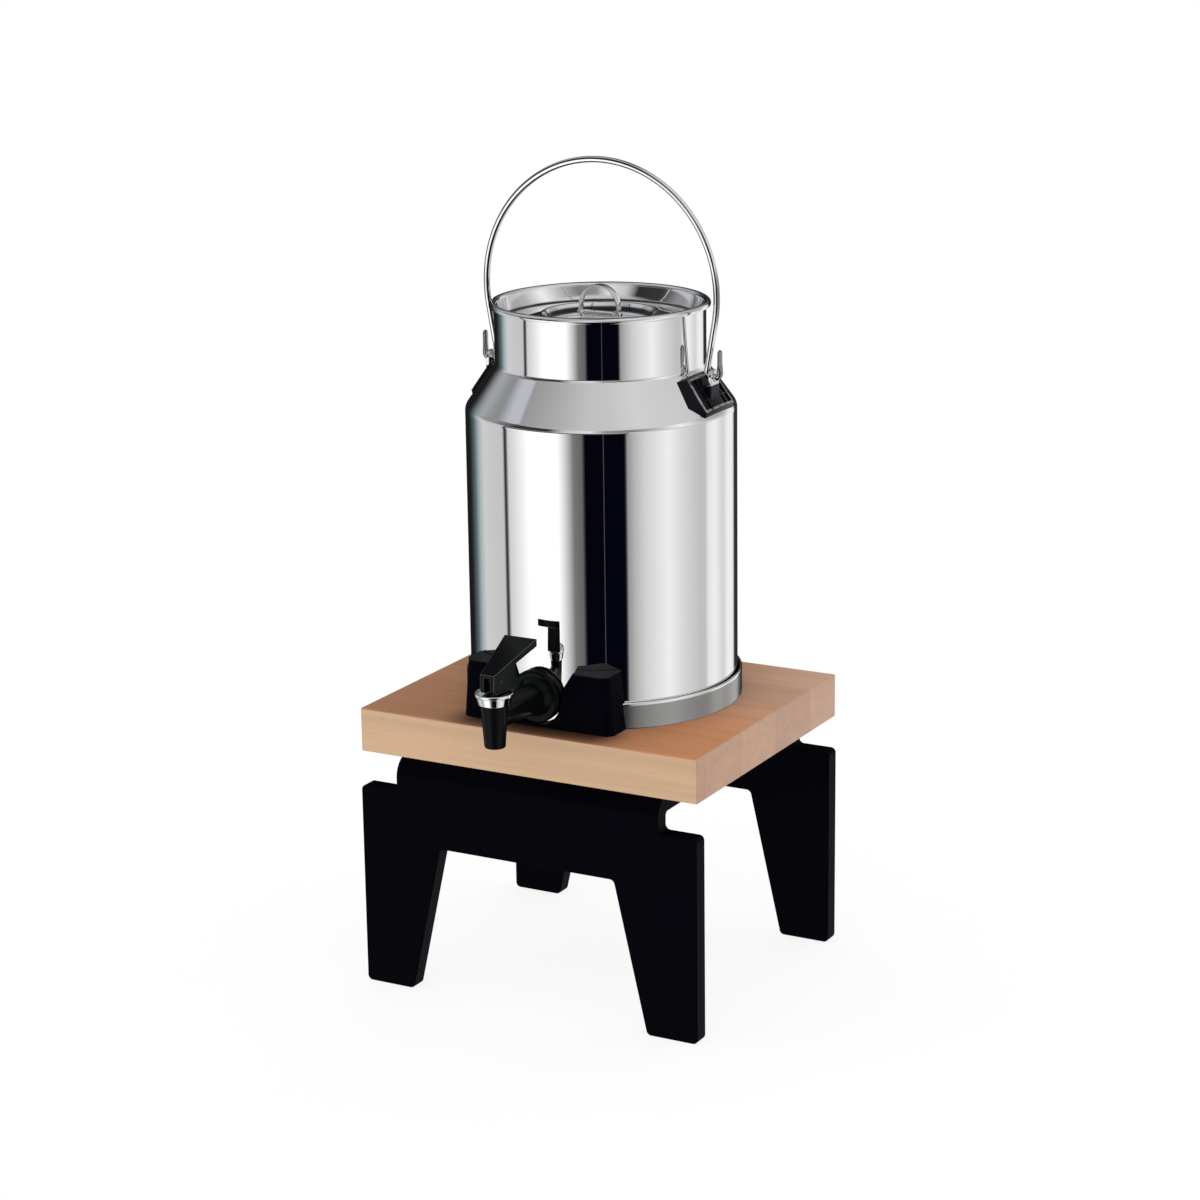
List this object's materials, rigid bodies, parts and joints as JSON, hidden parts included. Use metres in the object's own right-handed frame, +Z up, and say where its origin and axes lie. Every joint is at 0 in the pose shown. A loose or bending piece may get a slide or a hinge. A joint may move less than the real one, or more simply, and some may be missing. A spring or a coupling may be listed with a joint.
{
  "type": "milk dispenser",
  "caption": "Polished steel milk can with a lift-off lid, a wire bail and a black lever tap, standing in a ring on a beech board with black bent-plate legs.",
  "frame": {"origin": "on the floor, under the middle of the whole", "axes": "+Z up, -Y the way the tap points, +X to the right of someone who faces the tap"},
  "size_m": [0.25, 0.2598, 0.5502],
  "materials": {
    "beech": "oiled beech, fine grain along the board",
    "black_lacquer": "satin blue-black lacquer",
    "zinc_screw": "plain zinc",
    "satin_steel": "satin steel with a polished lip",
    "black_bracket": "satin black",
    "mirror_steel": "mirror polished",
    "black_ear": "semi-gloss black",
    "eye_steel": "polished",
    "black_tap": "semi-gloss black",
    "gasket_rubber": "matt",
    "nut_plastic": "matt, natural white",
    "chrome_ring": "bright chrome",
    "silicone": "translucent white silicone",
    "stem_plastic": "black",
    "wire_steel": "polished",
    "lid_steel": "mirror polished"
  },
  "bodies": {
    "stand": {"wood_board": "beech", "front_leg_frame": "black_lacquer", "rear_leg_frame": "black_lacquer", "leg_screws": "zinc_screw", "foot_ring": "satin_steel", "ring_screws": "zinc_screw", "front_bracket": "black_bracket", "bracket_screws": "zinc_screw"},
    "can": {"can_body": "mirror_steel", "can_top": "mirror_steel", "can_bottom": "mirror_steel", "ear_plate_right": "black_ear", "ear_plate_left": "black_ear", "ear_eye_right": "eye_steel", "ear_eye_left": "eye_steel", "tap_body": "black_tap", "tap_flange": "black_tap", "outer_gasket": "gasket_rubber", "inner_gasket": "gasket_rubber", "lock_nut": "nut_plastic", "bonnet_ring": "chrome_ring"},
    "stem": {"valve_stem": "stem_plastic", "seat_cup": "silicone"},
    "lever": {"lever": "black_tap", "lever_pin": "zinc_screw"},
    "bail": {"bail": "wire_steel"},
    "lid": {"lid": "lid_steel", "handle_clip": "lid_steel", "handle_pin": "wire_steel"},
    "lid_handle": {"lid_handle": "wire_steel"}
  },
  "joints": [
    {"name": "can_lift", "type": "slide", "parent": "stand", "child": "can", "axis": [0, 0, 1], "range_m": [0, 0.08]},
    {"name": "bail_swing", "type": "hinge", "parent": "can", "child": "bail", "pos_m": [0, 0.02865, 0.4121], "axis": [1, 0, 0], "range_deg": [-105, 105]},
    {"name": "lid_lift", "type": "slide", "parent": "can", "child": "lid", "axis": [0, 0, 1], "range_m": [0, 0.035]},
    {"name": "lid_handle_fold", "type": "hinge", "parent": "lid", "child": "lid_handle", "pos_m": [0, 0.02865, 0.4476], "axis": [1, 0, 0], "range_deg": [-88, 88]},
    {"name": "stem_lift", "type": "slide", "parent": "can", "child": "stem", "axis": [0, 0, 1], "range_m": [0, 0.0041], "deforming": ["seat_cup"]},
    {"name": "lever_tilt", "type": "hinge", "parent": "stem", "child": "lever", "pos_m": [0, -0.11735, 0.237], "axis": [1, 0, 0], "range_deg": [0, 50], "stiffness_Nm_per_rad": 0.35}
  ],
  "couplings": [
    {"joint": "stem_lift", "follows": "lever_tilt", "m_per_rad": 0.00458}
  ]
}
